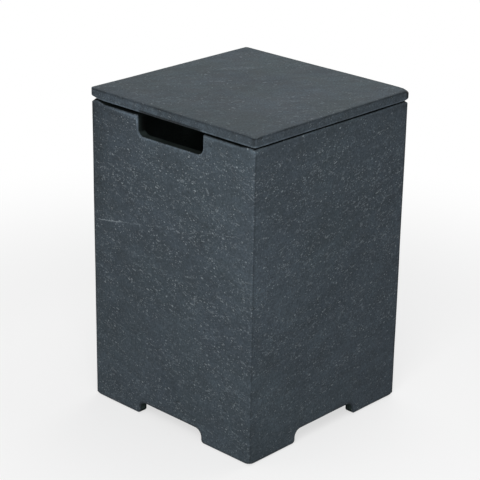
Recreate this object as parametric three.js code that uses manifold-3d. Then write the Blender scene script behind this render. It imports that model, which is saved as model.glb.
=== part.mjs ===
// Propane tank cover table: a cast lightweight-concrete shell, open above and below, stands over a gas
// bottle and is closed by a loose slab lid that serves as a side table.
// Millimetres, +Z up, a hand slot on -Y and another on +Y. The origin is on the ground under the middle.
import * as THREE from "three";
import { mergeVertices } from "three/addons/utils/BufferGeometryUtils.js";
import Module from "manifold-3d";

// Shell, cast in one piece
const bodyWidth = 398; // across X, outside
const bodyDepth = 398; // across Y, outside
const bodyHeight = 580; // from the soles of the feet to the rim
const wallThickness = 18;
const outerCornerRadius = 4; // upright corners, outside
const innerCornerRadius = 12; // upright corners, inside
const shellEdgeRadius = 3; // outer edges of the rim and of the feet

// Hand slots, open at the rim and closed above by the lid
const slotWidth = 159;
const slotDepth = 38;
const slotFillet = 11; // where a jamb runs into the sill
const slotLip = 3.5; // where the rim turns down into a jamb

// Notches between the feet, on all four sides, for the gas hose and for air
const notchWidth = 159;
const notchHeight = 24.5;
const notchFillet = 14; // where a foot runs into the wall above
const notchLip = 3.5; // the foot's lower corner

// Lid, a loose slab
const lidThickness = 19;
const lidOverhang = 1.5; // past the shell on every side
const lidCornerRadius = 6;
const lidTopEdgeRadius = 1.5;
const lidUnderEdgeRadius = 4;

// Rubber bumpers on the rim, which keep the lid off the shell
const bumperDiameter = 9;
const bumperHeight = 2.5;
const bumperEdgeRadius = 0.6;
const bumperSetback = 10; // from the shell's outer faces to the bumper's middle

// Locators bonded under the lid, which centre it in the shell's mouth
const locatorSize = 36;
const locatorHeight = 8;
const locatorClearance = 2; // to the inside of the wall
const locatorEdgeRadius = 2;

// Rubber pads bonded under the feet, two to a foot
const padLength = 70;
const padWidth = 9;
const padThickness = 2;
const padSetback = 30; // from the shell's outer corner to the near end

const cutOverrun = 10; // how far a cut runs past what it cuts
const discSegments = 20; // round a bumper

// How finely round stretches are divided: half the steps on a quarter turn of an outline, and the steps on
// a rounded edge.
const castDetail = { bend: 4, edge: 4 };
const smallDetail = { bend: 2, edge: 2 };

const concrete = new THREE.MeshStandardMaterial({ color: 0x474e55, roughness: 0.82, metalness: 0 });
const rubber = new THREE.MeshStandardMaterial({ color: 0x1b1c1e, roughness: 0.9, metalness: 0 });
const mouldedPlastic = new THREE.MeshStandardMaterial({ color: 0x26282b, roughness: 0.6, metalness: 0 });

const quarterTurn = Math.PI / 2;
const halfTurn = Math.PI;
const corners = [
  { name: "front_left", x: -1, y: -1 },
  { name: "front_right", x: 1, y: -1 },
  { name: "back_right", x: 1, y: 1 },
  { name: "back_left", x: -1, y: 1 },
];

const wasm = await Module();
wasm.setup();

// A closed three.js geometry as a solid that can be cut and joined.
function solidOf(geometry) {
  const bare = geometry.clone();
  bare.deleteAttribute("normal");
  bare.deleteAttribute("uv");
  const merged = mergeVertices(bare);
  const mesh = new wasm.Mesh({
    numProp: 3,
    vertProperties: merged.attributes.position.array,
    triVerts: new Uint32Array(merged.index.array),
  });
  return new wasm.Manifold(mesh);
}

// A solid as a flat-shaded three.js geometry.
function geometryOf(solid) {
  const { numProp, vertProperties, triVerts } = solid.getMesh();
  const indexed = new THREE.BufferGeometry();
  indexed.setAttribute("position", new THREE.BufferAttribute(vertProperties, numProp));
  indexed.setIndex(new THREE.BufferAttribute(triVerts, 1));
  const geometry = indexed.toNonIndexed();
  geometry.computeVertexNormals();
  return geometry;
}

// A rectangle about the origin with rounded corners.
function roundedRectangle(width, depth, radius) {
  const x = width / 2 - radius;
  const y = depth / 2 - radius;
  const outline = new THREE.Shape();
  outline.absarc(x, y, radius, 0, quarterTurn, false);
  outline.absarc(-x, y, radius, quarterTurn, halfTurn, false);
  outline.absarc(-x, -y, radius, halfTurn, halfTurn + quarterTurn, false);
  outline.absarc(x, -y, radius, -quarterTurn, 0, false);
  outline.closePath();
  return outline;
}

// An upright block standing on z = 0, with rounded upright corners and rounded top and bottom edges.
function roundedBlock({ width, depth, height, cornerRadius, edgeRadius, detail }) {
  const geometry = new THREE.ExtrudeGeometry(roundedRectangle(width, depth, cornerRadius), {
    depth: height - 2 * edgeRadius,
    bevelEnabled: true,
    bevelThickness: edgeRadius,
    bevelSize: edgeRadius,
    bevelOffset: -edgeRadius,
    bevelSegments: detail.edge,
    curveSegments: detail.bend,
  });
  geometry.translate(0, 0, edgeRadius);
  return geometry;
}

// The outline of a cut down from y = 0: lips round into the jambs, and the jambs fillet into a level sill.
function notchOutline({ width, depth, fillet, lip }) {
  const jamb = width / 2;
  const outline = new THREE.Shape();
  outline.moveTo(-jamb - lip, cutOverrun);
  outline.absarc(-jamb - lip, -lip, lip, quarterTurn, 0, true);
  outline.absarc(-jamb + fillet, fillet - depth, fillet, halfTurn, halfTurn + quarterTurn, false);
  outline.absarc(jamb - fillet, fillet - depth, fillet, -quarterTurn, 0, false);
  outline.absarc(jamb + lip, -lip, lip, halfTurn, quarterTurn, true);
  outline.lineTo(jamb + lip, cutOverrun);
  outline.closePath();
  return outline;
}

// A notch carried right through the shell along Y, its mouth on z = 0 and its sill below.
function throughCut(outline, reach) {
  const length = reach + 2 * cutOverrun;
  const geometry = new THREE.ExtrudeGeometry(outline, {
    depth: length,
    bevelEnabled: false,
    curveSegments: castDetail.bend,
  });
  geometry.translate(0, 0, -length / 2);
  geometry.rotateX(quarterTurn);
  return geometry;
}

function coverShell() {
  const block = roundedBlock({
    width: bodyWidth,
    depth: bodyDepth,
    height: bodyHeight,
    cornerRadius: outerCornerRadius,
    edgeRadius: shellEdgeRadius,
    detail: castDetail,
  });

  const cavity = new THREE.ExtrudeGeometry(
    roundedRectangle(bodyWidth - 2 * wallThickness, bodyDepth - 2 * wallThickness, innerCornerRadius),
    { depth: bodyHeight + 2 * cutOverrun, bevelEnabled: false, curveSegments: castDetail.bend },
  );
  cavity.translate(0, 0, -cutOverrun);

  const slotOutline = notchOutline({
    width: slotWidth,
    depth: slotDepth,
    fillet: slotFillet,
    lip: slotLip,
  });
  const slots = throughCut(slotOutline, bodyDepth);
  slots.translate(0, 0, bodyHeight);

  const hoseOutline = notchOutline({
    width: notchWidth,
    depth: notchHeight,
    fillet: notchFillet,
    lip: notchLip,
  });
  const notchesAlongY = throughCut(hoseOutline, bodyDepth);
  notchesAlongY.rotateY(halfTurn);
  const notchesAlongX = throughCut(hoseOutline, bodyWidth);
  notchesAlongX.rotateY(halfTurn);
  notchesAlongX.rotateZ(quarterTurn);

  const cuts = [cavity, slots, notchesAlongY, notchesAlongX];
  const shell = cuts.reduce((solid, cut) => solid.subtract(solidOf(cut)), solidOf(block));
  return geometryOf(shell);
}

// The slab stands on z = 0. Its upper and under edges have their own radii, so each comes from a block
// that runs on past the other's edge, and the lid is what the two have in common.
function lidSlab() {
  const slab = {
    width: bodyWidth + 2 * lidOverhang,
    depth: bodyDepth + 2 * lidOverhang,
    height: 2 * lidThickness,
    cornerRadius: lidCornerRadius,
    detail: castDetail,
  };
  const upper = roundedBlock({ ...slab, edgeRadius: lidTopEdgeRadius });
  upper.translate(0, 0, lidThickness - slab.height);
  const under = roundedBlock({ ...slab, edgeRadius: lidUnderEdgeRadius });
  return geometryOf(solidOf(upper).intersect(solidOf(under)));
}

// A low disc turned about Z, standing on z = 0, with a rounded shoulder.
function rimBumper() {
  const radius = bumperDiameter / 2;
  const shoulderRadius = radius - bumperEdgeRadius;
  const shoulderHeight = bumperHeight - bumperEdgeRadius;
  const profile = new THREE.Path();
  profile.moveTo(0, 0);
  profile.lineTo(radius, 0);
  profile.absarc(shoulderRadius, shoulderHeight, bumperEdgeRadius, 0, quarterTurn, false);
  profile.lineTo(0, bumperHeight);
  const geometry = new THREE.LatheGeometry(profile.getPoints(smallDetail.edge), discSegments);
  geometry.rotateX(quarterTurn);
  return geometry;
}

function lidLocator() {
  return roundedBlock({
    width: locatorSize,
    depth: locatorSize,
    height: locatorHeight,
    cornerRadius: innerCornerRadius - locatorClearance,
    edgeRadius: locatorEdgeRadius,
    detail: smallDetail,
  });
}

// A flat strip with round ends along X, standing on z = 0.
function footPad() {
  return new THREE.ExtrudeGeometry(roundedRectangle(padLength, padWidth, padWidth / 2), {
    depth: padThickness,
    bevelEnabled: false,
    curveSegments: smallDetail.bend,
  });
}

function place(geometry, material, name, x, y, z) {
  const mesh = new THREE.Mesh(geometry, material);
  mesh.name = name;
  mesh.position.set(x, y, z);
  return mesh;
}

const rimHeight = padThickness + bodyHeight;
const lidUnderside = rimHeight + bumperHeight;

const cover = new THREE.Group();
cover.add(place(coverShell(), concrete, "cover_shell", 0, 0, padThickness));

for (const corner of corners) {
  const x = corner.x * (bodyWidth / 2 - bumperSetback);
  const y = corner.y * (bodyDepth / 2 - bumperSetback);
  cover.add(place(rimBumper(), rubber, `rim_bumper_${corner.name}`, x, y, rimHeight));
}

for (const corner of corners) {
  const alongX = corner.x * (bodyWidth / 2 - padSetback - padLength / 2);
  const alongY = corner.y * (bodyDepth / 2 - padSetback - padLength / 2);
  const wallX = corner.x * (bodyWidth / 2 - wallThickness / 2);
  const wallY = corner.y * (bodyDepth / 2 - wallThickness / 2);
  cover.add(place(footPad(), rubber, `foot_pad_${corner.name}_x`, alongX, wallY, 0));
  const turned = place(footPad(), rubber, `foot_pad_${corner.name}_y`, wallX, alongY, 0);
  turned.rotation.z = quarterTurn;
  cover.add(turned);
}

const lid = new THREE.Group();
lid.position.z = lidUnderside;
lid.add(place(lidSlab(), concrete, "lid_slab", 0, 0, 0));

for (const corner of corners) {
  const reach = wallThickness + locatorClearance + locatorSize / 2;
  const x = corner.x * (bodyWidth / 2 - reach);
  const y = corner.y * (bodyDepth / 2 - reach);
  lid.add(place(lidLocator(), mouldedPlastic, `lid_locator_${corner.name}`, x, y, -locatorHeight));
}

const tankCoverTable = new THREE.Group();
tankCoverTable.add(cover, lid);

export default tankCoverTable;
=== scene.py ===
import bpy
import numpy as np
from mathutils import Matrix, Vector


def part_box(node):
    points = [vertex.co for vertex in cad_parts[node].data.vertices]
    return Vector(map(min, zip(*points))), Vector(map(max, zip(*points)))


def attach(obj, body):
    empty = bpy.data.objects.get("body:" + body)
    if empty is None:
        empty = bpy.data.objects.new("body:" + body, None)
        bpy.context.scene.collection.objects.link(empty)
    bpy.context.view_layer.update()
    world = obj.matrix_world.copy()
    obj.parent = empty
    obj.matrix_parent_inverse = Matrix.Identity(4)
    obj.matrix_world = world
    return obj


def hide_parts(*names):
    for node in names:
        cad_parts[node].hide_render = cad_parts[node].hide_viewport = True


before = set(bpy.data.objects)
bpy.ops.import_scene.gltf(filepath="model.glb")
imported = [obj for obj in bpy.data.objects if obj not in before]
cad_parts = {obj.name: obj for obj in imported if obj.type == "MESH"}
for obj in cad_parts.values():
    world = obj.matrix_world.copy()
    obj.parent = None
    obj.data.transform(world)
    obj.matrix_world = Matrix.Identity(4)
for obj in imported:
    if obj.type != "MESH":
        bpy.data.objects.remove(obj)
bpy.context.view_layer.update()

millimetre = 0.001
quarter = np.pi / 2
cornerNames = ["front_left", "front_right", "back_right", "back_left"]
cornerSigns = [(1, -1), (1, 1), (-1, 1), (-1, -1)]  # of X and Y, anticlockwise from the front right corner


# Surfaces. Shapes are worked out in millimetres and put into the mesh in metres.

# A share of the way through a stretch for each of its columns, without the end.
def shares(count):
    return np.arange(count) / count


# Shares of a stretch that lie closer together toward both ends, so that a corner or a lip stays crisp.
def towardEnds(count):
    return 0.5 - 0.5 * np.cos(np.pi * np.arange(count + 1) / count)


# Slow unevenness: the sum of plane sine waves with seeded directions, lengths and phases, squeezed by tanh to
# between -1 and 1.
swellForm = {"waves": 9, "lengths": (0.7, 1.5), "soft": 3}


def swell(points, wavelength, seed):
    draw = np.random.default_rng(seed)
    directions = draw.normal(size=(swellForm["waves"], 3))
    directions /= np.linalg.norm(directions, axis=1)[:, None]
    lengths = wavelength * draw.uniform(*swellForm["lengths"], swellForm["waves"])
    phases = draw.uniform(0, 2 * np.pi, swellForm["waves"])
    waves = np.sin(points @ (2 * np.pi * directions / lengths[:, None]).T + phases)
    return np.tanh(waves.sum(axis=-1) / swellForm["soft"])


# The unevenness that settings describe, to both sides of zero.
def waver(points, form):
    return form["by"] * swell(points, form["length"], form["seed"])


# The same, but only to one side: from nothing to twice the amount.
def dip(points, form):
    return form["by"] * (1 + swell(points, form["length"], form["seed"]))


def addObject(name, data):
    thing = bpy.data.objects.new(name, data)
    bpy.context.scene.collection.objects.link(thing)
    return thing


# A mesh from a grid of points, rows by columns. Columns run anticlockwise seen from above and meet; rows run
# up the outside. A ring wraps its rows too, and any other surface closes in one point at each end. The skin
# is each row's material, and each layer is a named attribute with a value for every point.
def gridSurface(name, grid, materials, ring=False, skin=None, **layers):
    rows, columns = grid.shape[:2]
    low = np.arange(rows * columns).reshape(rows, columns)
    high = np.roll(low, -1, axis=0)
    if not ring:
        low, high = low[:-1], high[:-1]
    quads = np.stack([low, np.roll(low, -1, axis=1), np.roll(high, -1, axis=1), high], axis=-1)
    points = grid.reshape(-1, 3)
    faces = quads.reshape(-1, 4).tolist()
    if not ring:
        first, last = np.arange(columns), np.arange(columns) + (rows - 1) * columns
        under, over = len(points), len(points) + 1
        points = np.vstack([points, grid[0].mean(axis=0), grid[-1].mean(axis=0)])
        faces += np.stack([np.roll(first, -1), first, np.full(columns, under)], axis=-1).tolist()
        faces += np.stack([last, np.roll(last, -1), np.full(columns, over)], axis=-1).tolist()
    mesh = bpy.data.meshes.new(name)
    mesh.from_pydata((points * millimetre).tolist(), [], faces)
    for material in materials:
        mesh.materials.append(material)
    if skin is not None:
        kinds = np.repeat(skin if ring else np.append(skin[:-1], [skin[0], skin[-1]]), columns)
        mesh.polygons.foreach_set("material_index", kinds.astype(np.int32))
    for layer, amount in layers.items():
        values = np.zeros(len(points), np.float32)
        values[:rows * columns] = amount.ravel()
        mesh.attributes.new(layer, "FLOAT", "POINT").data.foreach_set("value", values)
    mesh.polygons.foreach_set("use_smooth", np.ones(len(mesh.polygons), bool))
    mesh.update()
    return addObject(name, mesh)


# Points and outward directions round a rounded rectangle, anticlockwise from its front right corner: a
# quarter circle at each corner, then evenly spaced points along the side to the next.
def roundedOutline(halfX, halfY, radius, bend, straight):
    points, outward = [], []
    centres = np.array(cornerSigns) * (halfX - radius, halfY - radius)
    for corner, centre in enumerate(centres):
        angle = quarter * (corner - 1) + quarter * np.arange(bend + 1) / bend
        arc = np.stack([np.cos(angle), np.sin(angle)], axis=-1)
        points.append(centre + radius * arc)
        outward.append(arc)
        nextCentre = centres[(corner + 1) % len(centres)]
        along = (np.arange(straight) + 1)[:, None] / (straight + 1)
        points.append(centre + (nextCentre - centre) * along + radius * arc[-1])
        outward.append(np.repeat(arc[-1:], straight, axis=0))
    return np.vstack(points), np.vstack(outward)


# A closed block: a profile is carried round an outline. Each row of the profile is an inset from the outline,
# a height and a scale toward the middle, and the rows run from the underside, over the side, to the top.
def carriedProfile(outline, outward, middle, inset, height, scale):
    plan = (outline - np.asarray(inset)[..., None] * outward) * np.asarray(scale)[:, None, None]
    grid = np.empty(plan.shape[:2] + (3,))
    grid[..., :2] = plan + np.asarray(middle)
    grid[..., 2] = height
    return grid


# A bell over the distance: 1 at none, 1/e at the reach and next to nothing from twice the reach on.
def bell(distance, reach):
    return np.exp(-(distance / reach) ** 2)


# How far a corner is rubbed off from its upper or lower end: a bell round the upright corner line, times the
# square of a fall from that end.
def rubbedOff(grid, corner, end, amount):
    away = np.hypot(grid[..., 0] - corner[0], grid[..., 1] - corner[1])
    nearEnd = np.clip(1 - np.abs(grid[..., 2] - end) / amount["height"], 0, 1)
    return amount["by"] * bell(away, amount["reach"]) * nearEnd ** 2


# Concrete, rubber and plastic, as node materials. A node is added to the tree that the first argument is, or
# that the socket given there belongs to.

def addNode(source, kind, inputs=None, **settings):
    tree = source if isinstance(source, bpy.types.NodeTree) else source.id_data
    node = tree.nodes.new("ShaderNode" + kind)
    for key, value in settings.items():
        setattr(node, key, value)
    for key, value in (inputs or {}).items():
        if isinstance(value, bpy.types.NodeSocket):
            tree.links.new(value, node.inputs[key])
        else:
            node.inputs[key].default_value = value
    return node


def calc(operation, *values):
    source = next(value for value in values if isinstance(value, bpy.types.NodeSocket))
    return addNode(source, "Math", dict(enumerate(values)), operation=operation).outputs[0]


def times(value, *factors):
    for factor in factors:
        value = calc("MULTIPLY", value, factor)
    return value


# Carries a value from one range to another, eased at both ends and held outside them.
def eased(value, start, stop, low=0.0, high=1.0):
    inputs = {0: value, 1: start, 2: stop, 3: low, 4: high}
    return addNode(value, "MapRange", inputs, interpolation_type="SMOOTHSTEP").outputs[0]


def noise(place, scale, detail=2.0, rough=0.5):
    inputs = {"Vector": place, "Scale": scale, "Detail": detail, "Roughness": rough}
    return addNode(place, "TexNoise", inputs).outputs[0]


# Coordinates in a frame of its own: turned, then stretched, so a pattern is long where the scale is large.
def inFrame(place, stretch=(1, 1, 1), tilt=(0, 0, 0), shift=(0, 0, 0)):
    inputs = {"Vector": place, "Location": shift, "Rotation": tilt, "Scale": stretch}
    return addNode(place, "Mapping", inputs, vector_type="TEXTURE").outputs[0]


# The noise that settings describe, in a frame of its own if they give one.
def pattern(place, form):
    return noise(inFrame(place, *form["frame"]) if "frame" in form else place, *form["noise"])


# Round pits at scattered points, in a share of the cells.
def pits(place, form):
    cells = addNode(place, "TexVoronoi", {"Vector": place, "Scale": form["scale"]}).outputs
    random = addNode(place, "SeparateColor", {0: cells["Color"]}).outputs[0]
    return times(eased(cells["Distance"], *form["range"]), calc("LESS_THAN", random, form["kept"]))


def attribute(source, name):
    return addNode(source, "Attribute", attribute_name=name).outputs["Fac"]


def mixColours(factor, first, second):
    return addNode(factor, "Mix", {0: factor, 6: first, 7: second}, data_type="RGBA").outputs[2]


def brighten(colour, amount):
    return addNode(colour, "VectorMath", {0: colour, "Scale": amount}, operation="SCALE").outputs[0]


def newMaterial(name):
    material = bpy.data.materials.new(name)
    material.use_nodes = True
    tree = material.node_tree
    return material, tree.nodes["Principled BSDF"], addNode(tree, "TexCoord").outputs["Object"]


def finishMaterial(shader, colour, rough, specular, relief, bump):
    inputs = {"Height": relief, "Strength": bump[0], "Distance": bump[1]}
    normal = addNode(relief, "Bump", inputs).outputs[0]
    for name, socket in (("Base Color", colour), ("Roughness", rough), ("Normal", normal)):
        shader.id_data.links.new(socket, shader.inputs[name])
    shader.inputs["Specular IOR Level"].default_value = specular


# In settings a noise is its scale, detail and roughness, a frame is its stretch, tilt and shift, and a range
# is from where to where a value is eased, and then what it becomes, if that isn't 0 to 1.
usual = (0.3, 0.7)  # nearly all of a noise's values lie between these
fleckForm = {"waves": 1.6, "waveDetail": 2.0, "ring": 0.14}  # waves to a cell, and the ring's width in cells
lineForm = {"gaps": 1.3, "shift": (5, 2, 3)}  # gaps to a wave of the lines, and where their noise lies


# Pale flecks: round or drawn-out dots at scattered points, few of them large and few of them bright. A cell
# has one if its random number is below the kept share times the crowding. Each has a darker ring round it.
def flecks(place, spot, crowding):
    flat = inFrame(place, *spot["frame"])
    waves = {"Vector": flat, "Scale": spot["scale"] * fleckForm["waves"], "Detail": fleckForm["waveDetail"]}
    wavy = addNode(flat, "TexNoise", waves).outputs[1]
    bend = (spot["bend"] / spot["scale"],) * 3
    bent = addNode(flat, "VectorMath", {0: wavy, 1: bend, 2: flat}, operation="MULTIPLY_ADD").outputs[0]
    cells = addNode(flat, "TexVoronoi", {"Vector": bent, "Scale": spot["scale"]}).outputs
    random = addNode(flat, "SeparateColor", {0: cells["Color"]}).outputs
    size = calc("MULTIPLY_ADD", calc("POWER", random[0], 2.0), spot["spread"], spot["size"])
    inside = calc("SUBTRACT", size, cells["Distance"])
    dot = eased(inside, 0.0, spot["soft"])
    ring = calc("SUBTRACT", eased(inside, -fleckForm["ring"], 0.0), dot)
    kept = calc("LESS_THAN", random[1], times(crowding, spot["kept"]))
    strength = calc("MULTIPLY_ADD", calc("POWER", random[2], 2.0), spot["bright"], spot["faint"])
    strength = times(kept, strength)
    return times(dot, strength), times(ring, strength)


# Short wavy lines: the level lines of a noise, broken up where a second noise is low.
def scratches(place, line, crowding):
    flat = inFrame(place, *line["frame"])
    apart = calc("ABSOLUTE", calc("SUBTRACT", noise(flat, line["scale"]), 0.5))
    thin = eased(apart, 0.0, line["width"], 1.0, 0.0)
    gaps = noise(inFrame(flat, shift=lineForm["shift"]), line["scale"] * lineForm["gaps"])
    return times(thin, eased(gaps, *line["range"]), times(crowding, line["bright"]))


# What all the cast concrete has: the noises of its ground, how unevenly wear and painted light take hold on
# it, and its pores.
concreteForm = {
    "cloud": {"noise": (7.0, 4.0, 0.55), "range": (0.38, 0.62)},
    "broad": {"frame": ((1.6, 1.6, 1), (0.2, 0.2, 0), (4, 2, 6)), "noise": (11.9, 3.0, 0.5),
              "range": (0.35, 0.65, 0.92, 1.08)},
    "speck": {"noise": (290.0, 3.0, 0.65)},
    "grain": {"noise": (620.0, 2.0, 0.6)},
    "rub": {"noise": (28.0, 2.0, 0.5), "range": (*usual, 0.18, 0.38)},
    "pore": {"scale": 95.0, "kept": 0.12, "range": (0.08, 0.2, 1.0, 0.0), "depth": 0.35},
    "relief": {"grain": 0.35, "patch": 0.6, "pale": 0.35, "pore": -0.8},
    "bump": (0.5, 0.0006),  # strength and distance
    "specular": 0.25,
}
wallFinish = {
    "bluish": (0.0524, 0.0686, 0.0840, 1),
    "greenish": (0.0521, 0.0690, 0.0826, 1),
    "pale": (0.335, 0.385, 0.415, 1),
    "patch": {"frame": ((1, 1, 1), (0, 0, 0), (3, 1, 2)), "noise": (30.0, 4.0, 0.6)},
    "patchDepth": 0.12,
    "roughness": (*usual, 0.76, 0.9),
}
lidFinish = dict(wallFinish, bluish=(0.0468, 0.0598, 0.0710, 1), greenish=(0.0466, 0.0608, 0.0684, 1),
                 patchDepth=0.17)
edgeFinish = dict(wallFinish, patch=dict(wallFinish["patch"], noise=(55.0, 4.0, 0.6)), patchDepth=0.26)
wallMarks = {
    "flecks": [
        {"frame": ((1.35, 1.35, 0.85), (0.2, 0.2, 0)), "scale": 165.0, "bend": 0.35, "spread": 0.2,
         "size": 0.16, "soft": 0.05, "kept": 1.0, "faint": 0.12, "bright": 0.5},
        {"frame": ((1.4, 1.4, 0.8), (0.2, 0.25, 0), (0.4, 0.7, 0.1)), "scale": 240.0, "bend": 0.35,
         "spread": 0.16, "size": 0.22, "soft": 0.05, "kept": 1.0, "faint": 0.14, "bright": 0.5},
        {"frame": ((2.4, 2.4, 0.75), (0.2, 0.24, 0), (0.31, 0.17, 0.05)), "scale": 115.0, "bend": 0.6,
         "spread": 0.17, "size": 0.13, "soft": 0.06, "kept": 0.65, "faint": 0.12, "bright": 0.45},
    ],
    "lines": {"frame": ((1.5, 1.5, 0.8), (0.2, 0.2, 0), (0.7, 0.2, 0.4)), "scale": 75.0, "width": 0.035,
              "range": (0.52, 0.57), "bright": 0.35},
    "crowd": {"frame": ((2.6, 2.6, 0.9), (0.2, 0.2, 0)), "noise": (19.0, 5.0, 0.65),
              "range": (0.4, 0.58, 0.42, 1.0)},
    "veil": {"frame": ((4.5, 4.5, 1.0), (0.15, 0.15, 0), (1, 3, 2)), "noise": (60.0, 4.0, 0.6),
             "depth": 0.1},
    "speck": 0.27, "grain": 0.06, "ring": 0.85,
    # How many flecks there are and how pale they are, by height
    "thinning": [(0.0, 0.55, 0.75, 1.1), (0.52, 0.57, 1.0, 0.4)],
    "fading": (0.02, 0.5, 0.82, 1.0),
}
edgeMarks = dict(wallMarks, thinning=[], fading=(0.0, 1.0, 0.4, 0.4))
lidMarks = {
    "flecks": [
        {"frame": ((1.3, 1, 1), (0, 0, 1.0), (0.4, 0.1, 0)), "scale": 200.0, "bend": 0.5, "spread": 0.16,
         "size": 0.14, "soft": 0.05, "kept": 0.8, "faint": 0.03, "bright": 0.3},
        {"frame": ((2.6, 1, 1), (0, 0, 1.1), (0.1, 0.6, 0)), "scale": 150.0, "bend": 0.7, "spread": 0.14,
         "size": 0.12, "soft": 0.05, "kept": 0.8, "faint": 0.03, "bright": 0.27},
    ],
    "lines": {"frame": ((2.2, 1, 1), (0, 0, 1.0), (0.2, 0.9, 0.1)), "scale": 60.0, "width": 0.03,
              "range": (0.5, 0.58), "bright": 0.14},
    "crowd": {"frame": ((1.6, 1, 1), (0, 0, 1.0)), "noise": (11.0, 5.0, 0.65),
              "range": (0.4, 0.62, 0.25, 1.0)},
    "veil": {"frame": ((3.6, 1.0, 1.0), (0, 0, 1.0), (1, 3, 2)), "noise": (90.0, 4.0, 0.6), "depth": 0.11},
    "speck": 0.3, "grain": 0.1, "ring": 0.9, "thinning": [], "fading": (0.0, 1.0, 1.15, 1.15),
}
wallStreak = {
    "start": (-0.188, 0.3575), "slope": 0.178, "length": 0.385, "width": 0.0013,
    "sway": {"noise": (105.0, 4.0, 0.75), "by": 0.014},
    "strong": (0.055, 0.085, 0.72, 0.0),  # along its first stretch
    "weak": {"frame": ((1, 1, 1), (0, 0, 0), (1, 2, 3)), "noise": (55.0, 2.0, 0.5),
             "range": (0.46, 0.56, 0.0, 0.34)},
    "begin": 0.006, "end": 0.02,  # how far it takes to come in and to fade out
    "behind": -0.19,  # it is only on what lies in front of this
}


# One long hairline across the front: bright where the height is near a straight line in X that a noise makes
# wander, strong over its first stretch and then faint and broken.
def hairline(place, streak):
    axes = addNode(place, "SeparateXYZ", {0: place}).outputs
    along = calc("SUBTRACT", axes[0], streak["start"][0])
    sway = times(calc("SUBTRACT", pattern(place, streak["sway"]), 0.5), streak["sway"]["by"])
    line = calc("ADD", calc("MULTIPLY_ADD", along, streak["slope"], streak["start"][1]), sway)
    apart = calc("ABSOLUTE", calc("SUBTRACT", axes[2], line))
    bright = eased(apart, 0.0, streak["width"], 1.0, 0.0)
    weak = eased(pattern(place, streak["weak"]), *streak["weak"]["range"])
    level = calc("MAXIMUM", eased(along, *streak["strong"]), weak)
    begun = eased(along, 0.0, streak["begin"])
    ended = eased(along, streak["length"] - streak["end"], streak["length"], 1.0, 0.0)
    return times(bright, level, begun, ended, calc("LESS_THAN", axes[1], streak["behind"]))


# Cast concrete: a blue-grey ground with broad greenish clouds, drawn-out veils, smaller patches, specks and
# fine grain, pale flecks and short lines that crowd together in slanting bands, and darker pores. The
# attribute of wear and painted light makes it paler or darker, and flecks fade where it is darker. The
# attribute of painted shade blackens both.
def castConcrete(name, finish, marks, streak=None):
    form = concreteForm
    material, shader, place = newMaterial(name)
    cloud = eased(pattern(place, form["cloud"]), *form["cloud"]["range"])
    ground = mixColours(cloud, finish["bluish"], finish["greenish"])
    patch, grain = pattern(place, finish["patch"]), pattern(place, form["grain"])
    veil, speck = pattern(place, marks["veil"]), pattern(place, form["speck"])
    level = eased(pattern(place, form["broad"]), *form["broad"]["range"])
    for shade, depth in ((patch, finish["patchDepth"]), (veil, marks["veil"]["depth"]),
                         (speck, marks["speck"]), (grain, marks["grain"])):
        level = times(level, eased(shade, *usual, 1.0 - depth, 1.0 + depth))
    # The factor from wear and painted light: real wear together with painted light and shade.
    rubbed = eased(pattern(place, form["rub"]), *form["rub"]["range"])
    worn = calc("ADD", times(attribute(place, "wear"), rubbed), 1.0)
    level = times(level, worn)

    crowding = eased(pattern(place, marks["crowd"]), *marks["crowd"]["range"])
    height = addNode(place, "SeparateXYZ", {0: place}).outputs[2]
    for share in marks["thinning"]:
        crowding = times(crowding, eased(height, *share))
    pale = scratches(place, marks["lines"], crowding)
    for spot in marks["flecks"]:
        dot, ring = flecks(place, spot, crowding)
        pale = calc("MAXIMUM", pale, dot)
        level = times(level, calc("MULTIPLY_ADD", ring, -marks["ring"], 1.0))
    pale = times(pale, eased(height, *marks["fading"]), calc("MINIMUM", worn, 1.0))
    if streak:
        pale = calc("MAXIMUM", pale, hairline(place, streak))

    pore = pits(place, form["pore"])
    level = times(level, calc("MULTIPLY_ADD", pore, -form["pore"]["depth"], 1.0))
    # Painted shade from its attribute darkens the ground and the flecks alike.
    unshaded = calc("SUBTRACT", 1.0, attribute(place, "grime"))
    level, pale = times(level, unshaded), times(pale, unshaded)
    colour = mixColours(pale, brighten(ground, level), finish["pale"])

    raised = form["relief"]
    relief = calc("MULTIPLY_ADD", grain, raised["grain"], times(patch, raised["patch"]))
    marked = calc("MULTIPLY_ADD", pale, raised["pale"], times(pore, raised["pore"]))
    finishMaterial(shader, colour, eased(patch, *finish["roughness"]), form["specular"],
                   calc("ADD", relief, marked), form["bump"])
    return material


rawForm = {
    # The dark inner colours are partly the concrete's own and partly painted shade.
    "dark": (0.018, 0.0265, 0.0255, 1), "light": (0.026, 0.036, 0.034, 1),
    "blotch": {"noise": (18.0, 5.0, 0.6), "range": (*usual, 0.75, 1.2)},
    "sway": {"noise": (30.0,), "by": 0.004},
    "mesh": {"pitch": 0.006, "range": (0.6, 1.0), "tone": 0.15},
    "shown": {"noise": (9.0, 3.0), "range": (0.4, 0.65)},  # where the mesh shows
    "pit": {"scale": 120.0, "kept": 1.0, "range": (0.1, 0.3, 1.0, 0.0), "tone": 0.3},
    "relief": {"mesh": 0.4, "blotch": 1.2, "pit": 0.7}, "bump": (0.7, 0.0012),
    "roughness": (*usual, 0.88, 0.97), "specular": 0.06,
}
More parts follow.
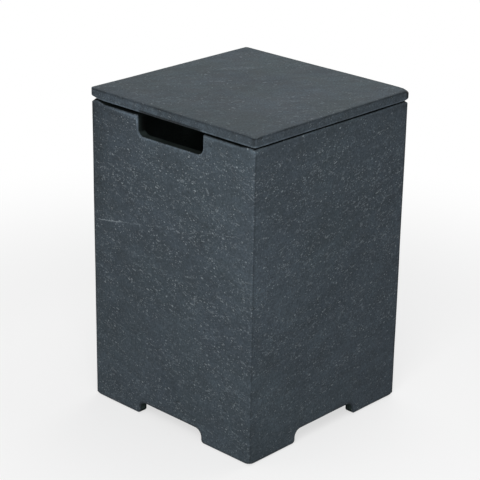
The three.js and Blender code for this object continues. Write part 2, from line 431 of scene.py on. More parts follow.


# The unfinished inside of the wall: blotchy dark concrete, pitted, with the squares of a fibre mesh showing.
# Its darkness is partly the concrete's own and partly painted shade for the inside, the slots and the gap.
# The attribute of painted shade darkens it further, and paints it paler, as painted light, where it is
# negative.
def rawConcrete(name):
    form = rawForm
    material, shader, place = newMaterial(name)
    axes = addNode(place, "SeparateXYZ", {0: place}).outputs
    blotch = pattern(place, form["blotch"])
    sway = times(pattern(place, form["sway"]), form["sway"]["by"])
    threads = []
    for distance in (calc("ADD", axes[0], axes[1]), axes[2]):
        wave = calc("SINE", times(calc("ADD", distance, sway), 2 * np.pi / form["mesh"]["pitch"]))
        threads.append(eased(wave, *form["mesh"]["range"]))
    shown = eased(pattern(place, form["shown"]), *form["shown"]["range"])
    mesh = times(calc("MAXIMUM", *threads), shown)
    pit = pits(place, form["pit"])
    tone = calc("ADD", eased(blotch, *form["blotch"]["range"]), times(mesh, form["mesh"]["tone"]))
    tone = calc("SUBTRACT", tone, times(pit, form["pit"]["tone"]))
    tone = times(tone, calc("SUBTRACT", 1.0, attribute(place, "grime")))
    colour = brighten(mixColours(blotch, form["dark"], form["light"]), tone)
    raised = form["relief"]
    relief = calc("ADD", times(mesh, raised["mesh"]), times(blotch, raised["blotch"]))
    relief = calc("SUBTRACT", relief, times(pit, raised["pit"]))
    finishMaterial(shader, colour, eased(blotch, *form["roughness"]), form["specular"], relief, form["bump"])
    return material


polymerForm = {
    "bloom": {"noise": (70.0, 4.0, 0.6), "range": (0.45, 0.75)},
    "grain": (3.0, 0.6), "tones": (*usual, 0.85, 1.15), "bump": 0.5, "specular": 0.4,
}


# Black rubber or plastic: near-black with a dusty bloom in patches and a fine moulded or ground texture.
def blackPolymer(name, dark, dusty, grainScale, roughness, relief):
    form = polymerForm
    material, shader, place = newMaterial(name)
    grain = noise(place, grainScale, *form["grain"])
    bloom = eased(pattern(place, form["bloom"]), *form["bloom"]["range"])
    colour = brighten(mixColours(bloom, dark, dusty), eased(grain, *form["tones"]))
    finishMaterial(shader, colour, eased(bloom, 0.0, 1.0, *roughness), form["specular"], grain,
                   (form["bump"], relief))
    return material


wallSkin = castConcrete("wallSkin", wallFinish, wallMarks, wallStreak)
lidSkin = castConcrete("lidSkin", lidFinish, lidMarks)
edgeSkin = castConcrete("edgeSkin", edgeFinish, edgeMarks)
innerSkin = rawConcrete("innerSkin")
bumperRubber = blackPolymer("bumperRubber", (0.011, 0.011, 0.012, 1), (0.026, 0.026, 0.026, 1), 900.0,
                            (0.5, 0.75), 0.0001)
padRubber = blackPolymer("padRubber", (0.014, 0.014, 0.014, 1), (0.034, 0.033, 0.031, 1), 700.0,
                         (0.8, 0.95), 0.0002)
locatorPlastic = blackPolymer("locatorPlastic", (0.018, 0.019, 0.021, 1), (0.028, 0.028, 0.029, 1), 1300.0,
                              (0.42, 0.6), 0.00008)
print("materials made")


# The shell: one wall section carried round the square, with slots and notches in its edges. Where there are
# four values, they are for the front, the right side, the back and the left side.
shellShape = {
    "wall": 18, "cornerRadius": 3, "innerCornerRadius": 12,
    "rimEdge": 2.2, "innerEdge": 1.8, "soleEdge": 2.2,
    "slot": {"half": 79.5, "depth": 38, "fillet": 14, "lip": 3},
    "notch": {"half": 79.5, "depth": 24.5, "fillet": 14, "lip": 6.5},
    "spread": [0, 72, 86, 100, 112],  # where the edge's stretches begin at mid height
    "fanReach": 110,  # how far from an edge the columns are back to that spacing
    "faceUneven": {"by": 0.15, "length": 130, "seed": 8},
    "rimUneven": {"by": 0.45, "length": 130, "seed": 5},
    "rimEdgeUneven": {"by": 0.2, "length": 80, "seed": 6},
    "soleEdgeUneven": {"by": 0.25, "length": 80, "seed": 7},
    "fullRimEdge": {"by": 0.2, "reach": 20},  # at the corners
    "bumperClear": {"from": 11, "over": 16},  # the rim is level this far from a corner, then begins to sink
    # How far the front rim sinks at distances along it
    "frontSink": ([-199, -165, -92, -80, 80, 92, 165, 199], [0, 4.2, 3.8, 2.4, 0.9, 1.8, 2.0, 0]),
    "bluntSole": {"by": 3.0, "reach": 6, "height": 14},  # the sole's corners are rubbed off
    "bluntRim": {"reach": 7, "height": 12},  # and the rim's
    "bluntRimBy": (1.2, 2.5, 1.2, 4.5),  # from the front right corner on
}
shellGrid = {"sill": 14, "fillet": 7, "jamb": 5, "lip": 5, "level": 20, "bend": 8, "outerRows": 92,
             "innerRows": 60, "roundRows": 6, "flatRows": 3,
             "even": 0.65, "leaning": 0.35,  # a face's rows are spaced partly evenly, partly toward its ends
             "firstStep": 0.001}  # a row this close to each edge keeps the rounding's shade off the face
shellWearAndLight = {
    "rimArris": {"by": 0.85, "reach": 1.6},
    "footArris": {"by": -1.3, "reach": 1.5},
    # Painted highlight and shade along the upright corners and beside them
    "leftEnd": {"by": (-1.2, -0.8, -0.8, -0.8), "reach": 1.4},
    "rightEnd": {"by": (0.15, -1.3, 0.15, -1.3), "reach": (1.4, 2.2, 1.4, 2.2)},
    "bend": ([0.2, -0.9], [-1.6, -1.6], [0.2, -0.9], [-1.6, -1.6]), "bendAt": [0.4, 0.7],
    "patch": {"left": (0, 2.4, 0, 0), "right": (2.4, -1.0, 0, 0), "reach": 9, "below": 3, "height": 5},
    "margin": {"by": (-1.5, 0, -1.5, 0), "reach": 75},
    # Painted shade under the rim
    "underRim": {"by": (0, -0.9, 0, 0), "reach": 16},
    "band": {"by": (0, 0.68, 0, 0), "reach": 110, "middle": 255, "half": 235},
    "roundSlot": {"by": 0.3, "reach": 100},
    # The facet's painted highlight: its strength left and right of the slot, its width far from the lip and
    # how much more it is at the lip, how far it goes, how much faster it fades down the jamb, and the dark
    # line of painted shadow along it
    "facet": {"by": (3.8, 1.8), "width": 2.8, "more": 5.0, "over": 20, "fade": 56, "inSlot": 3,
              "line": 0.2, "lineAt": 2, "lineWidth": 0.7},
    "overRim": 0.3, "intoSlot": 1.6, "underFoot": -1.2,  # on the roundings
}
# Painted shade on the shell, with painted light where a value is negative.
shellPaintedShade = {
    "jamb": ([0, 0.12, 0.25, 1], [0.5, 0.82, 0.93, 0.97]),  # through the wall
    "sill": ([-66, -45, -15, 70], [0.2, 0.05, 0.4, 0.6]),  # along it
    "rim": 0.75, "notchEdge": 0.75, "notchSoffit": -1.3,
}


# Half of a side's edge from its middle outwards: along the sill, round the fillet, up the jamb, round the lip
# and along the level. Gives distance along the wall, drop, and the way out of the concrete (along, rise).
def cutEdge(cut, end):
    g = shellGrid
    half, depth, fillet, lip = cut["half"], cut["depth"], cut["fillet"], cut["lip"]
    sill, jamb, level = shares(g["sill"]), shares(g["jamb"]), towardEnds(g["level"])
    turn, over = shares(g["fillet"]) * quarter, shares(g["lip"]) * quarter
    along = np.concatenate([sill * (half - fillet), half - fillet + fillet * np.sin(turn), half + 0 * jamb,
                            half + lip - lip * np.cos(over), half + lip + (end - half - lip) * level])
    drop = np.concatenate([depth + 0 * sill, depth - fillet + fillet * np.cos(turn),
                           depth - fillet + (lip + fillet - depth) * jamb, lip - lip * np.sin(over),
                           0 * level])
    outAlong = np.concatenate([0 * sill, -np.sin(turn), -1 + 0 * jamb, -np.cos(over), 0 * level])
    outRise = np.concatenate([1 + 0 * sill, np.cos(turn), 0 * jamb, np.sin(over), 1 + 0 * level])
    return along, drop, outAlong, outRise


# The same columns at mid height, spread evenly within each stretch but the last.
def midSpacing(end):
    g, spread = shellGrid, shellShape["spread"]
    marks = np.cumsum([0, g["sill"], g["fillet"], g["jamb"], g["lip"]])
    near = np.interp(np.arange(marks[-1]), marks, spread)
    return np.concatenate([near, spread[-1] + (end - spread[-1]) * towardEnds(g["level"])])


def mirrored(values, sign):
    return np.concatenate([sign * values[:0:-1], values])


# One side of the shell with the corner that follows it, as a grid of points with wear and painted light, and
# painted shade. The section runs up the outer face, over the rim, down the inner face and under the wall.
def wallSide(low, high, turns, slotted):
    s, g = shellShape, shellGrid
    half = high[0]
    innerHalf = half - s["wall"]
    bendShare = shares(g["bend"])[1:]
    straightCount = 2 * len(midSpacing(0)) - 1
    isBend = np.r_[np.zeros(straightCount, bool), np.ones(len(bendShare), bool)]
    angle = np.r_[np.zeros(straightCount), bendShare * quarter]
    cosTurn, sinTurn = np.cos(turns * quarter), np.sin(turns * quarter)

    def fill(values, bendValue):
        return np.concatenate([values, np.full(len(bendShare), bendValue)])

    def edge(cut, end):
        if cut:
            along, drop, outAlong, outRise = cutEdge(cut, end)
        else:
            along = midSpacing(end)
            drop, outAlong, outRise = 0 * along, 0 * along, 1 + 0 * along
        return [fill(mirrored(along, -1), end), fill(mirrored(drop, 1), 0),
                fill(mirrored(outAlong, -1), 0), fill(mirrored(outRise, 1), 1)]

    # A point at a distance along the wall: straight out from the middle line, or round the corner's centre.
    def point(along, reach, bendReach, centre, height):
        out = np.where(isBend, bendReach, reach)
        x = np.where(isBend, centre, along) + out * np.sin(angle)
        y = np.where(isBend, -centre, 0) - out * np.cos(angle)
        return np.stack([cosTurn * x - sinTurn * y, sinTurn * x + cosTurn * y, height + 0 * x], axis=-1)

    def outer(along, inset, height):
        return point(along, half - inset, s["cornerRadius"] - inset, half - s["cornerRadius"], height)

    def inner(along, outset, height):
        return point(along, innerHalf + outset, s["innerCornerRadius"] + outset,
                     innerHalf - s["innerCornerRadius"], height)

    outerEnd, innerEnd = half - s["cornerRadius"], innerHalf - s["innerCornerRadius"]
    topCut = s["slot"] if slotted else None
    outerTop, outerFoot = edge(topCut, outerEnd), edge(s["notch"], outerEnd)
    innerTop, innerFoot = edge(topCut, innerEnd), edge(s["notch"], innerEnd)
    outerMid, innerMid = (fill(mirrored(midSpacing(end), -1), end) for end in (outerEnd, innerEnd))

    # The rim sinks a little away from the bumpers, and on the front it dips further, most at the left. Its
    # rounding swells, and is fuller at the corners.
    rimPoints = outer(outerTop[0], 0, high[2])
    fromCorner = np.where(isBend, 0, outerEnd - np.abs(outerTop[0]))
    clear = np.clip((fromCorner - s["bumperClear"]["from"]) / s["bumperClear"]["over"], 0, 1)
    sink = dip(rimPoints, s["rimUneven"]) * clear
    if turns == 0:
        sink = sink + np.interp(rimPoints[:, 0], *s["frontSink"]) * clear
    fuller = s["fullRimEdge"]["by"] * bell(fromCorner, s["fullRimEdge"]["reach"])
    rimEdge = s["rimEdge"] + waver(rimPoints, s["rimEdgeUneven"]) + fuller
    soleEdge = s["soleEdge"] + waver(rimPoints, s["soleEdgeUneven"])

    def uneven(along, height):
        return dip(outer(along, 0, height), s["faceUneven"])

    # Rows of a face between its two edges. Near an edge the columns lean toward that edge's own spacing.
    def face(top, foot, mid, topEdge, footEdge, count):
        topAlong, footAlong = top[0] - top[2] * topEdge, foot[0] - foot[2] * footEdge
        topHeight = high[2] - sink - top[1] - top[3] * topEdge
        footHeight = low[2] + foot[1] + foot[3] * footEdge
        step = np.linspace(0, 1, count)
        step = g["even"] * step + g["leaning"] * (0.5 - 0.5 * np.cos(np.pi * step))
        step = np.r_[step[0], g["firstStep"], step[1:-1], 1 - g["firstStep"], step[-1]][:, None]
        height = footHeight + (topHeight - footHeight) * step
        nearTop = np.clip(1 - (topHeight - height) / s["fanReach"], 0, 1) ** 2
        nearFoot = np.clip(1 - (height - footHeight) / s["fanReach"], 0, 1) ** 2
        along = mid + (topAlong - mid) * nearTop + (footAlong - mid) * nearFoot
        toTop = np.hypot(along - topAlong, topHeight - height)
        toFoot = np.hypot(along - footAlong, height - footHeight)
        return along, height, toTop, toFoot

    rise = (np.arange(g["roundRows"]) + 1)[:, None] / g["roundRows"] * quarter
    outAlong, outHeight, toEdge, toFoot = face(outerTop, outerFoot, outerMid, rimEdge, soleEdge,
                                               g["outerRows"])
    inAlong, inHeight, _, _ = face(innerTop, innerFoot, innerMid, s["innerEdge"], s["innerEdge"],
                                   g["innerRows"])
    topInset, footInset = uneven(outAlong[-1], outHeight[-1]), uneven(outAlong[0], outHeight[0])
    rimLevel, soleLevel = high[2] - sink - outerTop[1], low[2] + outerFoot[1]

    # A quarter-round from a face over to the edge: the bend parameter runs from the face to the edge.
    def rounding(place, edgeLine, level, sign, radius, inset, bend):
        back = radius * (1 - np.sin(bend))
        return place(edgeLine[0] - edgeLine[2] * back, inset + radius * (1 - np.cos(bend)),
                     level - sign * edgeLine[3] * back)

    outerFace = outer(outAlong, uneven(outAlong, outHeight), outHeight)
    overRim = rounding(outer, outerTop, rimLevel, 1, rimEdge, topInset, rise)
    intoBay = rounding(inner, innerTop, rimLevel, 1, s["innerEdge"], 0, rise[::-1])
    innerFace = inner(inAlong, 0, inHeight)[::-1]
    underBay = rounding(inner, innerFoot, soleLevel, -1, s["innerEdge"], 0, rise)
    underWall = rounding(outer, outerFoot, soleLevel, -1, soleEdge, footInset, rise[::-1])
    between = (np.arange(g["flatRows"]) + 1)[:, None, None] / (g["flatRows"] + 1)
    rimFlat = overRim[-1] + (intoBay[0] - overRim[-1]) * between
    soleFlat = underBay[-1] + (underWall[0] - underBay[-1]) * between

    # Wear and painted light, positive where the concrete is paler. The rim's arris is pale and the foot's is
    # dark. The upright corners at the front right and the back left carry a painted highlight up to their
    # middle and painted shade beyond it, the other two carry painted shade, and thin lines of painted shade
    # run beside most of them. Small patches at some upper corners are pale or dark. The front's and the
    # back's left margins are dark toward the top, and the right side has a pale band up its left and a dark
    # strip of painted shade under its rim.
    w = shellWearAndLight

    # What falls off exponentially with a distance, by this side's settings.
    def falling(form, distance):
        by, reach = (np.broadcast_to(form[key], 4)[turns] for key in ("by", "reach"))
        return by * np.exp(-distance / reach)

    onLeft = outAlong < 0
    fromLeft, underRim = outAlong + outerEnd, rimLevel - outHeight
    cornerDistance = np.where(isBend, 0, outerEnd - np.abs(outAlong))
    # Painted highlight and shade along the upright corners and beside them on the faces.
    cornerPaintedLight = np.where(onLeft, *(falling(w[end], cornerDistance) for end in ("leftEnd", "rightEnd")))
    cornerPaintedLight = np.where(isBend, np.interp(angle / quarter, w["bendAt"], w["bend"][turns]), cornerPaintedLight)
    faceWearAndLight = falling(w["rimArris"], toEdge) + falling(w["footArris"], toFoot) + cornerPaintedLight
    patch, band = w["patch"], w["band"]
    faceWearAndLight += (np.where(onLeft, patch["left"][turns], patch["right"][turns])
                 * bell(cornerDistance, patch["reach"]) * bell(underRim - patch["below"], patch["height"]))
    faceWearAndLight += falling(w["margin"], fromLeft) * np.clip(outHeight / high[2], 0, 1)
    faceWearAndLight += falling(w["underRim"], underRim) * fromLeft / (2 * outerEnd)
    bandShare = np.clip(1 - ((outHeight - band["middle"]) / band["half"]) ** 2, 0, 1)
    faceWearAndLight += falling(band, fromLeft) * bandShare

    # The concrete is a little paler round a slot. A pale band, painted highlight where a lit facet would be,
    # runs along the rim and down the jamb from each lip, widest at the lip, with a darker line of painted
    # shadow along its other edge.
    if slotted:
        facet = w["facet"]
        underTop = rimLevel.max() - outHeight
        pastLip = np.abs(outAlong) - (s["slot"]["half"] + s["slot"]["lip"])
        toLip = np.hypot(np.where(pastLip < 0, facet["inSlot"] * pastLip, pastLip), underTop)
        faceWearAndLight += falling(w["roundSlot"], np.hypot(outAlong, underTop))
        across = toEdge / (facet["width"] + facet["more"] * np.exp(-toLip / facet["over"]))
        line = facet["line"] * bell(across - facet["lineAt"], facet["lineWidth"])
        tone = np.where(onLeft, *facet["by"]) * bell(toLip, facet["fade"])
        faceWearAndLight += tone * (np.exp(-across ** 4) - line)

    # Painted shade: the rim is painted black under the lid, and a slot's jambs are painted darker inward. A
    # slot's sill has almost none at the left and is painted grey from there to the right. The notches have a
    # painted dark inner edge, and their soffit is painted paler, as painted light.
    grimeOf = shellPaintedShade
    through = np.linspace(0, 1, g["roundRows"] + g["flatRows"])[:, None]
    jamb = np.interp(through, *grimeOf["jamb"])
    sill = np.interp(outerTop[0], *grimeOf["sill"]) + 0 * through
    inSlot = outerTop[1] > s["slot"]["lip"]
    onSill = outerTop[3] > 0.6  # where the edge faces mostly up
    rimShade = np.where(inSlot, np.where(onSill, sill, jamb), grimeOf["rim"])
    turning = np.linspace(0, 1, g["roundRows"])[:, None] ** 2
    inNotch = outerFoot[1] > s["notch"]["lip"]
    parts = [  # points, wear, grime
        (outerFace, faceWearAndLight, 0.0),
        (overRim, np.where(inSlot, w["intoSlot"], w["overRim"]), rimShade[0] * turning),
        (rimFlat, 0.0, rimShade[:g["flatRows"]]),
        (intoBay, 0.0, rimShade[g["flatRows"]:]),
        (innerFace, 0.0, 0.0),
        (underBay, 0.0, np.where(inNotch, grimeOf["notchEdge"], 0.0)),
        (soleFlat, 0.0, np.where(inNotch, grimeOf["notchSoffit"], 0.0)),
        (underWall, w["underFoot"], 0.0),
    ]
    grid = np.concatenate([part[0] for part in parts])
    wear, grime = (np.concatenate([np.broadcast_to(part[layer], part[0].shape[:2]) for part in parts])
                   for layer in (1, 2))
    counts = [len(part[0]) for part in parts]

    for (signX, signY), rubbedBy in zip(cornerSigns, s["bluntRimBy"]):
        corner = (signX * half, signY * half)
        grid[..., 2] += rubbedOff(grid, corner, low[2], s["bluntSole"])
        grid[..., 2] -= rubbedOff(grid, corner, high[2], dict(s["bluntRim"], by=rubbedBy))
    return grid, wear, grime, counts


def makeShell():
    low, high = (np.array(corner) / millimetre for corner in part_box("cover_shell"))
    sides = [wallSide(low, high, turns, slotted=turns % 2 == 0) for turns in range(4)]
    grid, wear, grime = (np.concatenate([side[layer] for side in sides], axis=1) for layer in range(3))
    counts = sides[0][3]
    skin = np.zeros(len(grid), int)
    # The raw inner finish is dark, partly as painted shade on the rim, in the slots and inside.
    skin[sum(counts[:2]) - 1:sum(counts[:7])] = 1  # all but the outer face and its roundings is left raw
    return gridSurface("shellCasting", grid, [wallSkin, innerSkin], ring=True, skin=skin, wear=wear,
                       grime=grime)


shell = makeShell()
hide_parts("cover_shell")
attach(shell, "cover")
print("shell made,", len(shell.data.polygons), "faces")


# The lid: a slab whose upper arris is tighter than its lower one, with slightly wavering sides. One corner's
# upper arris is fuller and the opposite corner's lower one is, and three corners are rubbed off.
lidShape = {
    "cornerRadius": 6, "topEdge": 1.5, "underEdge": 2.8,
    "sideUneven": {"by": 0.15, "length": 150, "seed": 21},
    "topEdgeUneven": {"by": 0.2, "length": 110, "seed": 22},
    "underEdgeUneven": {"by": 0.3, "length": 110, "seed": 23},
    "topUneven": {"by": 0.15, "length": 160, "seed": 24},
    "fullTop": {"at": (1, 1), "more": 4.0, "reach": 18},
    "fullUnder": {"at": (-1, -1), "more": 2.8, "reach": 26},
    "wornUnder": [{"at": (-1, -1), "by": 3.5, "reach": 13, "height": 12},
                  {"at": (1, 1), "by": 4.5, "reach": 6, "height": 10}],
    "wornOver": [{"at": (1, 1), "by": 5.0, "reach": 6.5, "height": 10},
                 {"at": (1, -1), "by": 2.0, "reach": 10, "height": 10}],
    "bend": 10, "straight": 60, "topRows": 46, "underRows": 30, "edgeRows": 7, "sideRows": 12,
}
lidWearAndLight = {
    # By height over the underside: painted shade along the bottom of the lower arris, which faces the gap,
    # painted light on the rest of the lower arris, an even side and a dark upper arris
    "tones": ([0, 0.6, 1.3, 2.4, 3.8, 14.5, 16.5, 17.6, 19], [-2.2, 0, 3.8, 3.2, 0, 0, -2.0, -1.8, -0.6]),
    # Painted light on the top: paler from front to back
    "top": ([-199, 199], [-0.15, 0.3]),  # from front to back
    # Painted highlight and shade round each upright corner's arris
    "corner": ([0, 0.4, 0.5, 0.62, 0.76, 1], [-1.3, -1.4, 0.3, 1.3, -0.5, -0.3]),  # round an upright corner
    "cornerStrength": (1, 2.3, 1, 1.2),  # from the front right corner on
    # The painted highlight in a corner widens upward
    "cornerPale": ([3, 15], [0.15, 1.1]),  # the pale facet in the corner widens upward
    "cornerRange": ([1, 3, 16, 18], [0, 1, 1, 0]),  # the heights at which corners have these tones
}
# Painted shade on the lid.
lidPaintedShade = {"half": 76, "fade": 4, "height": 5.4, "strength": 0.82,  # on the lower arris over each slot
            "under": ([0.85, 0.95], [0, 0.5])}  # on the underside, by the share of the way out


def makeLid():
    s, w = lidShape, lidWearAndLight
    low, high = (np.array(corner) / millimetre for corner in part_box("lid_slab"))
    outline, outward = roundedOutline(*high[:2], s["cornerRadius"], s["bend"], s["straight"])
    flat = np.c_[outline, np.full(len(outline), high[2])]
    sideInset = dip(flat, s["sideUneven"])

    # How much fuller an arris is near a corner.
    def fuller(corner):
        away = np.hypot(*(outline - high[:2] * corner["at"]).T)
        return corner["more"] * bell(away, corner["reach"])

    topEdge = s["topEdge"] + waver(flat, s["topEdgeUneven"]) + fuller(s["fullTop"])
    underEdge = s["underEdge"] + waver(flat, s["underEdgeUneven"]) + fuller(s["fullUnder"])

    up = (np.arange(s["edgeRows"]) / s["edgeRows"] * quarter)[:, None]
    over = ((np.arange(s["edgeRows"]) + 1) / s["edgeRows"] * quarter)[:, None]
    side = np.linspace(0, 1, s["sideRows"])[:, None]
    inward = 1 - (np.arange(s["topRows"]) + 1) / (s["topRows"] + 1)
    outwardScale = (np.arange(s["underRows"]) + 1) / (s["underRows"] + 1)

    inset = np.concatenate([
        np.repeat((sideInset + underEdge)[None], s["underRows"], axis=0),
        sideInset + underEdge * (1 - np.sin(up)),
        sideInset + 0 * side,
        sideInset + topEdge * (1 - np.cos(over)),
        np.repeat((sideInset + topEdge)[None], s["topRows"], axis=0),
    ])
    height = np.concatenate([
        np.full((s["underRows"], len(outline)), low[2]),
        low[2] + underEdge * (1 - np.cos(up)),
        low[2] + underEdge + (high[2] - topEdge - low[2] - underEdge) * side,
        high[2] - topEdge * (1 - np.sin(over)),
        np.full((s["topRows"], len(outline)), high[2]),
    ])
    scale = np.concatenate([outwardScale, np.ones(2 * s["edgeRows"] + s["sideRows"]), inward])
    grid = carriedProfile(outline, outward, (0, 0), inset, height, scale)
    roundTop = s["underRows"] + s["edgeRows"] + s["sideRows"]  # the first row of the upper rounding
    flatTop = roundTop + s["edgeRows"]
    grid[roundTop:, :, 2] -= dip(grid[roundTop:], s["topUneven"])
    for worn in s["wornUnder"]:
        grid[..., 2] += rubbedOff(grid, high[:2] * worn["at"], low[2], worn)
    for worn in s["wornOver"]:
        grid[..., 2] -= rubbedOff(grid, high[:2] * worn["at"], high[2], worn)

    level = height - low[2]
    # Painted shade and light on the lower arris by height, and a dark upper arris.
    wear = np.interp(level, *w["tones"])
    # Painted highlight and shade round the upright corners.
    corner = np.concatenate([np.interp(shares(s["bend"] + 1), *w["corner"]), np.zeros(s["straight"])])
    corner = np.concatenate([strength * corner for strength in w["cornerStrength"]])
    corner = corner * np.where(corner > 0, np.interp(level, *w["cornerPale"]), 1)
    wear += corner * np.interp(level, *w["cornerRange"])
    # The top is painted paler toward the back, as painted light.
    wear[flatTop:] = np.interp(grid[flatTop:, :, 1], *w["top"])

    # Painted shade blackens the lower arris over the slots, and darkens the underside where it nears the rim.
    slotShade = lidPaintedShade
    overSlot = np.interp(np.abs(outline[:, 0]), [slotShade["half"] - slotShade["fade"], slotShade["half"]], [1, 0])
    overSlot = overSlot * (np.abs(outward[:, 1]) > 0.99)  # on the front and the back only
    grime = slotShade["strength"] * overSlot * np.interp(level, [slotShade["height"] - 1, slotShade["height"]], [1, 0])
    grime[:s["underRows"]] = np.interp(outwardScale, *slotShade["under"])[:, None]
    skin = np.zeros(len(grid), int)
    skin[:roundTop + s["edgeRows"] // 2] = 1  # the sides are finished like the walls
    skin[:s["underRows"]] = 2
    return gridSurface("lidCasting", grid, [lidSkin, edgeSkin, innerSkin], skin=skin, wear=wear,
                       grime=grime)


lid = makeLid()
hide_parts("lid_slab")
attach(lid, "lid")
print("lid made,", len(lid.data.polygons), "faces")


# Small parts. Each profile row is (inset, height above the node's underside, scale).
smallGrid = {"bend": 7, "straight": 6}
bumperProfile = {
    "radius": 4.5,
    "rows": [(0.15, 0.0, 0.4), (0.15, 0.0, 0.8), (0.15, 0.0, 1), (0.0, 0.15, 1), (0.0, 0.9, 1),
             (0.0, 1.8, 1), (0.07, 2.1, 1), (0.22, 2.31, 1), (0.42, 2.45, 1), (0.7, 2.5, 1),
             (0.7, 2.5, 0.8), (0.7, 2.5, 0.5), (0.7, 2.42, 0.42), (0.7, 2.27, 0.34), (0.7, 2.2, 0.2)],
}
locatorProfile = {
    "radius": 10,
    "rows": [(8.0, 3.6, 0.1), (8.0, 3.6, 0.3), (8.0, 3.5, 0.34), (8.0, 0.9, 0.4), (8.0, 0.55, 0.43),
             (8.0, 0.55, 0.56), (8.0, 0.9, 0.6), (8.0, 3.4, 0.64), (8.0, 3.6, 0.7), (5.4, 3.6, 1),
             (5.0, 3.4, 1), (4.6, 0.5, 1), (4.3, 0.12, 1), (3.9, 0.0, 1), (2.7, 0.0, 1), (1.75, 0.2, 1),
             (1.1, 0.7, 1), (0.75, 1.4, 1), (0.65, 2.1, 1), (0.25, 6.6, 1), (0.1, 7.3, 1), (0.0, 8.0, 1),
             (4.0, 8.0, 1), (4.0, 8.0, 0.5)],
}
padProfile = {
    "radius": 4.5,
    "rows": [(3.2, 0.45, 0.5), (3.2, 0.45, 1), (2.5, 0.45, 1), (2.3, 0.15, 1), (2.1, 0.0, 1), (1.2, 0.0, 1),
             (0.45, 0.06, 1), (0.15, 0.25, 1), (0.0, 0.55, 1), (0.0, 1.05, 1), (0.0, 1.6, 1), (0.1, 1.9, 1),
             (0.3, 2.0, 1), (3.2, 2.0, 1), (3.2, 2.0, 0.5)],
}


# A small part: the profile is carried round the rounded rectangle that its node fills, which is a circle
# where the radius leaves no straight sides.
def makeSmallPart(name, node, profile, material, body):
    low, high = (np.array(corner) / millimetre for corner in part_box(node))
    half = (high - low) / 2
    radius = min(profile["radius"], *half[:2])
    straight = 0 if max(half[:2]) < radius + 0.01 else smallGrid["straight"]
    outline, outward = roundedOutline(*half[:2], radius, smallGrid["bend"], straight)
    inset, height, scale = (np.array(column) for column in zip(*profile["rows"]))
    grid = carriedProfile(outline, outward, (low + half)[:2], inset[:, None], low[2] + height[:, None], scale)
    piece = gridSurface(name, grid, [material])
    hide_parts(node)
    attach(piece, body)


for cornerName in cornerNames:
    makeSmallPart("bumper_" + cornerName, "rim_bumper_" + cornerName, bumperProfile, bumperRubber,
                  "cover")
    makeSmallPart("locator_" + cornerName, "lid_locator_" + cornerName, locatorProfile, locatorPlastic,
                  "lid")
    for padName in (cornerName + "_x", cornerName + "_y"):
        makeSmallPart("pad_" + padName, "foot_pad_" + padName, padProfile, padRubber, "cover")
print("bumpers, locators and foot pads made")


# 1 for a ray that shows a thing to the camera, straight, mirrored or through glass, else 0.
def shownRay(tree):
    ray = addNode(tree, "LightPath").outputs
    seen = calc("MAXIMUM", ray["Is Camera Ray"], ray["Is Glossy Ray"])
    return calc("MAXIMUM", seen, ray["Is Transmission Ray"])


# The stage: a wide floor that goes to plain white away from the object and keeps its soft shadow. It looks
# paler to the camera than to the light.
stage = {"reach": 9.0, "seen": 0.9, "felt": 0.15, "whitening": (0.6, 1.4, 0.65, 1.0)}


def makeFloor():
    mesh = bpy.data.meshes.new("floor")
    corners = [(x * stage["reach"], y * stage["reach"], 0) for x, y in cornerSigns]
    mesh.from_pydata(corners, [], [(0, 1, 2, 3)])
    material = bpy.data.materials.new("paleFloor")
    material.use_nodes = True
    tree = material.node_tree
    tree.nodes.clear()
    place = addNode(tree, "TexCoord").outputs["Object"]
    far = addNode(tree, "VectorMath", {0: place}, operation="LENGTH").outputs["Value"]
    far = eased(far, *stage["whitening"])
    seen = shownRay(tree)
    shade = mixColours(seen, (stage["felt"],) * 3 + (1,), (stage["seen"],) * 3 + (1,))
    matt = addNode(tree, "BsdfDiffuse", {"Color": shade})
    white = addNode(tree, "Emission", {"Color": (1, 1, 1, 1), "Strength": 1.0})
    mixed = addNode(tree, "MixShader", {0: times(far, seen), 1: matt.outputs[0], 2: white.outputs[0]})
    addNode(tree, "OutputMaterial", {"Surface": mixed.outputs[0]})
    mesh.materials.append(material)
    floor = addObject("floor", mesh)


makeFloor()

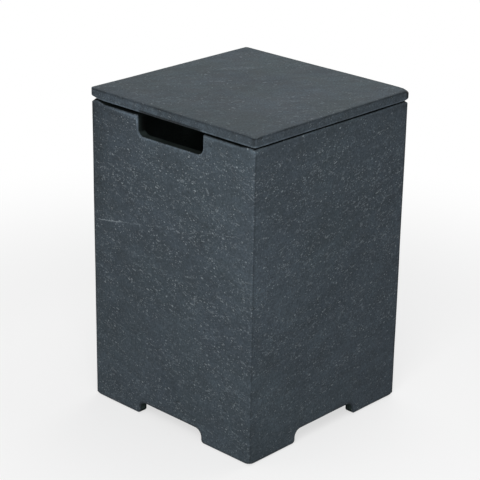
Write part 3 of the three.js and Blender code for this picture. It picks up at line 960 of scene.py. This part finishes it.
# Light: an even world, which looks plain white, and four softboxes, aimed at the middle of the object and
# unseen by the camera.
lighting = {
    "world": 0.35, "aim": (0, 0, 0.3),
    "boxes": [
        {"name": "overhead", "from": (-0.15, 1.05, 2.2), "size": (1.8, 1.8), "power": 19.5},
        {"name": "frontLeft", "from": (-1.1, -1.8, 0.5), "size": (1.2, 1.0), "power": 5.9},
        {"name": "frontRight", "from": (0.8, -1.2, 1.25), "size": (0.8, 0.8), "power": 14.0},
        {"name": "right", "from": (2.0, -1.3, 0.55), "size": (1.2, 1.0), "power": 5.8},
    ],
}


def makeLights():
    world = bpy.data.worlds.new("studio")
    bpy.context.scene.world = world
    world.use_nodes = True
    tree = world.node_tree
    tree.nodes.clear()
    strength = calc("MULTIPLY_ADD", shownRay(tree), 1.0 - lighting["world"], lighting["world"])
    background = addNode(tree, "Background", {"Color": (1, 1, 1, 1), "Strength": strength})
    addNode(tree, "OutputWorld", {"Surface": background.outputs[0]})
    for box in lighting["boxes"]:
        lamp = bpy.data.lights.new(box["name"], "AREA")
        lamp.shape = "RECTANGLE"
        lamp.size, lamp.size_y = box["size"]
        lamp.energy = box["power"]
        holder = addObject(box["name"], lamp)
        holder.location = box["from"]
        holder.visible_camera = False
        toMiddle = Vector(lighting["aim"]) - holder.location
        holder.rotation_euler = toMiddle.to_track_quat("-Z", "Y").to_euler()


makeLights()
print("floor and lights set")

# The camera at the photograph's angle, in metres, degrees, millimetres of sensor and pixels of the 480-pixel
# frame.
view = {"azimuth": 43.404, "elevation": 21.58, "roll": 0.905, "place": (1.9532, -2.0860, 1.4447),
        "sensor": 36.0, "focalPixels": 1677.0, "framePixels": 480}


def makeCamera():
    azimuth, elevation, roll = (np.radians(view[key]) for key in ("azimuth", "elevation", "roll"))
    back = Vector((np.sin(azimuth) * np.cos(elevation), -np.cos(azimuth) * np.cos(elevation),
                   np.sin(elevation)))
    level = Vector((0, 0, 1)).cross(back).normalized()
    upright = back.cross(level)
    right = level * np.cos(roll) + upright * np.sin(roll)
    up = upright * np.cos(roll) - level * np.sin(roll)
    data = bpy.data.cameras.new("studioCamera")
    data.sensor_width = view["sensor"]
    data.lens = data.sensor_width * view["focalPixels"] / view["framePixels"]
    camera = addObject("studioCamera", data)
    turn = Matrix((right, up, back)).transposed().to_4x4()
    camera.matrix_world = Matrix.Translation(view["place"]) @ turn
    bpy.context.scene.camera = camera


makeCamera()
bpy.context.scene.view_settings.view_transform = "Standard"
print("camera set")
